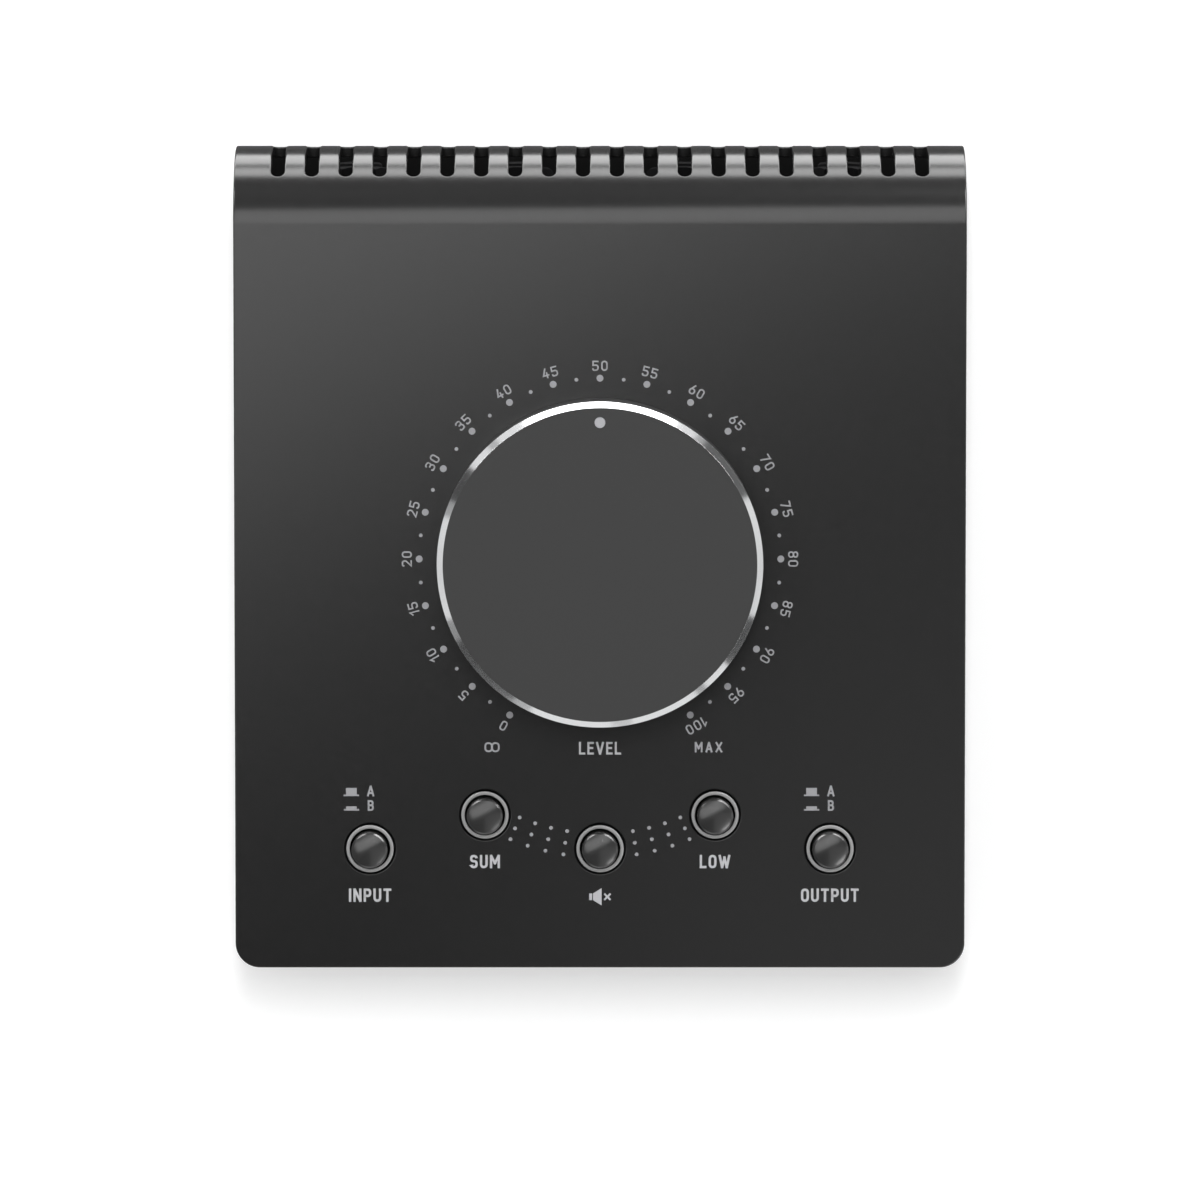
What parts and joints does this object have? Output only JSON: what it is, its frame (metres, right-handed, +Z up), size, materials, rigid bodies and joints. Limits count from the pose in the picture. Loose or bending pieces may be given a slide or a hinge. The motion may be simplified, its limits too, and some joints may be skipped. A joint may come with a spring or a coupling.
{
  "type": "studio monitor controller",
  "caption": "Desktop monitor controller: sloping metal housing with a rolled slotted rear edge, a large turning dial, push buttons and sockets behind.",
  "frame": {"origin": "on the table under the middle of the housing, at the bottom of the feet", "axes": "+Z up, +X to the user's right, +Y to the rear; the face slopes down to the front at -Y"},
  "size_m": [0.136, 0.1536, 0.07],
  "materials": {
    "powder_coat": "fine satin powder coat, near black",
    "dark_anodised": "satin dark anodised, with a bright cut chamfer",
    "pointer_inlay": "pale grey inlay",
    "bezel_metal": "satin grey",
    "cap_gloss": "glossy near black",
    "screw_steel": "dark plated",
    "shaft_steel": "bright turned",
    "brass": "bare",
    "nickel": "nickel plated",
    "black_moulding": "black moulded",
    "white_nylon": "natural moulded",
    "rubber": "black rubber",
    "circuit_board": "green solder mask on glass fibre",
    "ribbon_grey": "grey ribbon cable"
  },
  "bodies": {
    "root": {"top_cover": "powder_coat", "base_tray": "powder_coat", "rear_panel": "powder_coat", "rubber_foot_1": "rubber", "rubber_foot_2": "rubber", "rubber_foot_3": "rubber", "rubber_foot_4": "rubber", "case_screw_1": "screw_steel", "case_screw_2": "screw_steel", "case_screw_3": "screw_steel", "case_screw_4": "screw_steel", "panel_screw_1": "screw_steel", "panel_screw_2": "screw_steel", "jack_block_1": "black_moulding", "jack_block_2": "black_moulding", "jack_block_3": "black_moulding", "jack_block_4": "black_moulding", "jack_nut_1": "black_moulding", "jack_nut_2": "black_moulding", "jack_nut_3": "black_moulding", "jack_nut_4": "black_moulding", "jack_nut_5": "black_moulding", "jack_nut_6": "black_moulding", "jack_nut_7": "black_moulding", "jack_nut_8": "black_moulding", "jack_board": "circuit_board", "main_board": "circuit_board", "board_screw_1": "screw_steel", "board_screw_2": "screw_steel", "board_screw_3": "screw_steel", "board_screw_4": "screw_steel", "ribbon_cable": "ribbon_grey", "potentiometer_body": "brass", "potentiometer_washer": "nickel", "potentiometer_nut": "nickel", "button_bezel_1": "bezel_metal", "button_bezel_2": "bezel_metal", "button_bezel_3": "bezel_metal", "button_bezel_4": "bezel_metal", "button_bezel_5": "bezel_metal", "switch_body_1": "black_moulding", "switch_body_2": "black_moulding", "switch_body_3": "black_moulding", "switch_body_4": "black_moulding", "switch_body_5": "black_moulding"},
    "dial": {"dial_knob": "dark_anodised", "knob_pointer": "pointer_inlay", "knob_grub_screw": "screw_steel", "potentiometer_shaft": "shaft_steel"},
    "button_1": {"button_cap_1": "cap_gloss", "switch_slider_1": "white_nylon"},
    "button_2": {"button_cap_2": "cap_gloss", "switch_slider_2": "white_nylon"},
    "button_3": {"button_cap_3": "cap_gloss", "switch_slider_3": "white_nylon"},
    "button_4": {"button_cap_4": "cap_gloss", "switch_slider_4": "white_nylon"},
    "button_5": {"button_cap_5": "cap_gloss", "switch_slider_5": "white_nylon"}
  },
  "joints": [
    {"name": "dial_turn", "type": "hinge", "parent": "root", "child": "dial", "pos_m": [0, -0.00051, 0.04778], "axis": [0, 0.0675, -0.9977], "range_deg": [-150, 150]},
    {"name": "button_1_press", "type": "slide", "parent": "root", "child": "button_1", "axis": [0, 0.0675, -0.9977], "range_m": [0, 0.0025], "stiffness_N_per_m": 500, "springref_m": -0.001},
    {"name": "button_2_press", "type": "slide", "parent": "root", "child": "button_2", "axis": [0, 0.0675, -0.9977], "range_m": [0, 0.0025], "stiffness_N_per_m": 500, "springref_m": -0.001},
    {"name": "button_3_press", "type": "slide", "parent": "root", "child": "button_3", "axis": [0, 0.0675, -0.9977], "range_m": [0, 0.0025], "stiffness_N_per_m": 500, "springref_m": -0.001},
    {"name": "button_4_press", "type": "slide", "parent": "root", "child": "button_4", "axis": [0, 0.0675, -0.9977], "range_m": [0, 0.0025], "stiffness_N_per_m": 500, "springref_m": -0.001},
    {"name": "button_5_press", "type": "slide", "parent": "root", "child": "button_5", "axis": [0, 0.0675, -0.9977], "range_m": [0, 0.0025], "stiffness_N_per_m": 500, "springref_m": -0.001}
  ]
}
